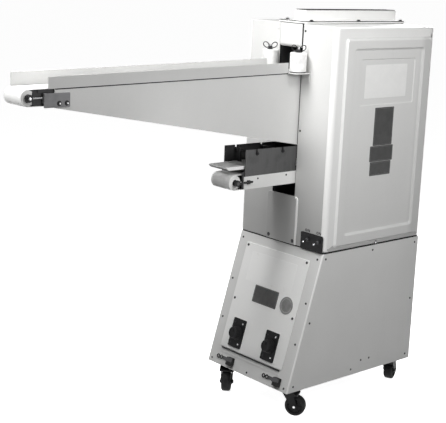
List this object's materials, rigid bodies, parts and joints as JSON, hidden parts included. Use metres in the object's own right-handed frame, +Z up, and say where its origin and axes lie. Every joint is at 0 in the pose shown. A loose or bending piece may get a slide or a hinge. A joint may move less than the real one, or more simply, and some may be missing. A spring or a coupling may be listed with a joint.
{
  "type": "dough divider",
  "caption": "Upright wheeled dough divider: long sloping infeed belt, covered head with rotary knife, short discharge belt with pressure board, hinged control panel.",
  "frame": {"origin": "on the floor, at the middle of the bounding box", "axes": "+X from the infeed nose towards the back of the machine, +Y towards the side away from the switch plate, +Z up"},
  "size_m": [1.7715, 0.4804, 1.526],
  "materials": {
    "white_paint": "satin off-white enamel",
    "cover_white": "satin moulded off-white",
    "frame_grey": "grey enamel",
    "plate_alu": "milled",
    "dark_steel": "dark brushed",
    "mid_steel": "brushed",
    "bright_steel": "bright zinc plated",
    "black_plastic": "satin black",
    "black_rubber": "matt black",
    "belt_white": "matt off-white food belt",
    "nylon_white": "natural white",
    "motor_grey": "grey cast housing",
    "bare_chrome": "polished",
    "wheel_rubber": "dark tread"
  },
  "bodies": {
    "frame": {"base_frame": "frame_grey", "base_side_panels": "white_paint", "base_back_panel": "white_paint", "power_inlet": "black_plastic", "base_front_skin": "white_paint", "side_cover_near": "cover_white", "side_cover_far": "cover_white", "front_top_panel": "white_paint", "front_lower_panel": "white_paint", "rear_panel": "white_paint", "top_cover": "white_paint", "frame_plates": "plate_alu", "tie_bars": "mid_steel", "wedge_plates": "white_paint", "guard_rails": "white_paint", "conveyor_bed": "white_paint", "infeed_belt": "belt_white", "roller_shafts": "mid_steel", "take_up_brackets": "dark_steel", "take_up_screws": "mid_steel", "conveyor_support": "white_paint", "discharge_rails": "white_paint", "discharge_bed": "white_paint", "discharge_belt": "belt_white", "guard_plates": "dark_steel", "board_hangers": "mid_steel", "pressure_board": "nylon_white", "shaft_bearings": "mid_steel", "gearmotors": "motor_grey", "drive_belt": "black_rubber", "hinge_fixed_leaf": "mid_steel", "stop_straps": "dark_steel", "stop_blocks": "black_rubber", "switch_plate": "black_plastic", "guide_brackets": "mid_steel", "caster_plates": "mid_steel", "panel_screws": "bright_steel"},
    "door": {"control_panel": "white_paint", "hinge_door_leaf": "mid_steel", "gang_plates": "black_plastic", "door_screws": "bright_steel"},
    "knob_left": {"speed_knob_left": "black_plastic"},
    "knob_right": {"speed_knob_right": "black_plastic"},
    "toggle_l": {"toggle_left": "bare_chrome"},
    "toggle_r": {"toggle_right": "bare_chrome"},
    "guide_near": {"guide_roller_near": "nylon_white"},
    "guide_far": {"guide_roller_far": "nylon_white"},
    "infeed_drive": {"infeed_drive_roller": "plate_alu"},
    "infeed_nose": {"infeed_nose_roller": "plate_alu"},
    "knife": {"knife_rotor": "mid_steel"},
    "discharge_drive": {"discharge_drive_roller": "plate_alu"},
    "discharge_nose": {"discharge_nose_roller": "plate_alu"},
    "swivel_front_near": {"caster_fork_front_near": "mid_steel"},
    "wheel_front_near": {"caster_wheel_front_near": "wheel_rubber"},
    "swivel_front_far": {"caster_fork_front_far": "mid_steel"},
    "wheel_front_far": {"caster_wheel_front_far": "wheel_rubber"},
    "swivel_back_near": {"caster_fork_back_near": "mid_steel"},
    "wheel_back_near": {"caster_wheel_back_near": "wheel_rubber"},
    "swivel_back_far": {"caster_fork_back_far": "mid_steel"},
    "wheel_back_far": {"caster_wheel_back_far": "wheel_rubber"}
  },
  "joints": [
    {"name": "panel_hinge", "type": "hinge", "parent": "frame", "child": "door", "pos_m": [0.18171, 0, 0.17969], "axis": [0, -1, 0], "range_deg": [0, 100]},
    {"name": "speed_knob_left_turn", "type": "hinge", "parent": "door", "child": "knob_left", "pos_m": [0.19734, 0.099, 0.25326], "axis": [-0.96, 0, 0.2801], "range_deg": [-150, 150]},
    {"name": "speed_knob_right_turn", "type": "hinge", "parent": "door", "child": "knob_right", "pos_m": [0.19734, -0.089, 0.25326], "axis": [-0.96, 0, 0.2801], "range_deg": [-150, 150]},
    {"name": "toggle_l_flip", "type": "hinge", "parent": "frame", "child": "toggle_l", "pos_m": [0.309, -0.149, 0.674], "axis": [0, 1, 0], "range_deg": [0, 24]},
    {"name": "toggle_r_flip", "type": "hinge", "parent": "frame", "child": "toggle_r", "pos_m": [0.309, -0.205, 0.674], "axis": [0, 1, 0], "range_deg": [0, 24]},
    {"name": "guide_near_spin", "type": "hinge", "parent": "frame", "child": "guide_near", "pos_m": [0.2815, -0.0765, 1.337], "axis": [0, 0, 1], "continuous": true},
    {"name": "guide_far_spin", "type": "hinge", "parent": "frame", "child": "guide_far", "pos_m": [0.2815, 0.0765, 1.337], "axis": [0, 0, 1], "continuous": true},
    {"name": "infeed_drive_spin", "type": "hinge", "parent": "frame", "child": "infeed_drive", "pos_m": [0.4465, 0, 1.26715], "axis": [0, 1, 0], "continuous": true},
    {"name": "infeed_nose_spin", "type": "hinge", "parent": "frame", "child": "infeed_nose", "pos_m": [-0.8495, 0, 1.25271], "axis": [0, 1, 0], "continuous": true},
    {"name": "knife_spin", "type": "hinge", "parent": "frame", "child": "knife", "pos_m": [0.5385, 0, 1.27], "axis": [0, 1, 0], "continuous": true},
    {"name": "discharge_drive_spin", "type": "hinge", "parent": "frame", "child": "discharge_drive", "pos_m": [0.6465, 0, 0.903], "axis": [0, 1, 0], "continuous": true},
    {"name": "discharge_nose_spin", "type": "hinge", "parent": "frame", "child": "discharge_nose", "pos_m": [0.0185, 0, 0.903], "axis": [0, 1, 0], "continuous": true},
    {"name": "swivel_front_near_turn", "type": "hinge", "parent": "frame", "child": "swivel_front_near", "pos_m": [0.2265, -0.172, 0.1], "axis": [0, 0, 1], "continuous": true},
    {"name": "wheel_front_near_spin", "type": "hinge", "parent": "swivel_front_near", "child": "wheel_front_near", "pos_m": [0.24452, -0.20083, 0.04], "axis": [-0.848, -0.5299, 0], "continuous": true},
    {"name": "swivel_front_far_turn", "type": "hinge", "parent": "frame", "child": "swivel_front_far", "pos_m": [0.2165, 0.163, 0.1], "axis": [0, 0, 1], "continuous": true},
    {"name": "wheel_front_far_spin", "type": "hinge", "parent": "swivel_front_far", "child": "wheel_front_far", "pos_m": [0.19123, 0.14025, 0.04], "axis": [-0.6691, 0.7431, 0], "continuous": true},
    {"name": "swivel_back_near_turn", "type": "hinge", "parent": "frame", "child": "swivel_back_near", "pos_m": [0.8215, -0.166, 0.1], "axis": [0, 0, 1], "continuous": true},
    {"name": "wheel_back_near_spin", "type": "hinge", "parent": "swivel_back_near", "child": "wheel_back_near", "pos_m": [0.85256, -0.15217, 0.04], "axis": [0.4067, -0.9135, 0], "continuous": true},
    {"name": "swivel_back_far_turn", "type": "hinge", "parent": "frame", "child": "swivel_back_far", "pos_m": [0.8215, 0.166, 0.1], "axis": [0, 0, 1], "continuous": true},
    {"name": "wheel_back_far_spin", "type": "hinge", "parent": "swivel_back_far", "child": "wheel_back_far", "pos_m": [0.80554, 0.19602, 0.04], "axis": [0.8829, 0.4695, 0], "continuous": true}
  ],
  "couplings": [
    {"joint": "infeed_nose_spin", "follows": "infeed_drive_spin", "ratio": 1.2},
    {"joint": "discharge_drive_spin", "follows": "knife_spin", "ratio": 1},
    {"joint": "discharge_nose_spin", "follows": "knife_spin", "ratio": 1}
  ]
}
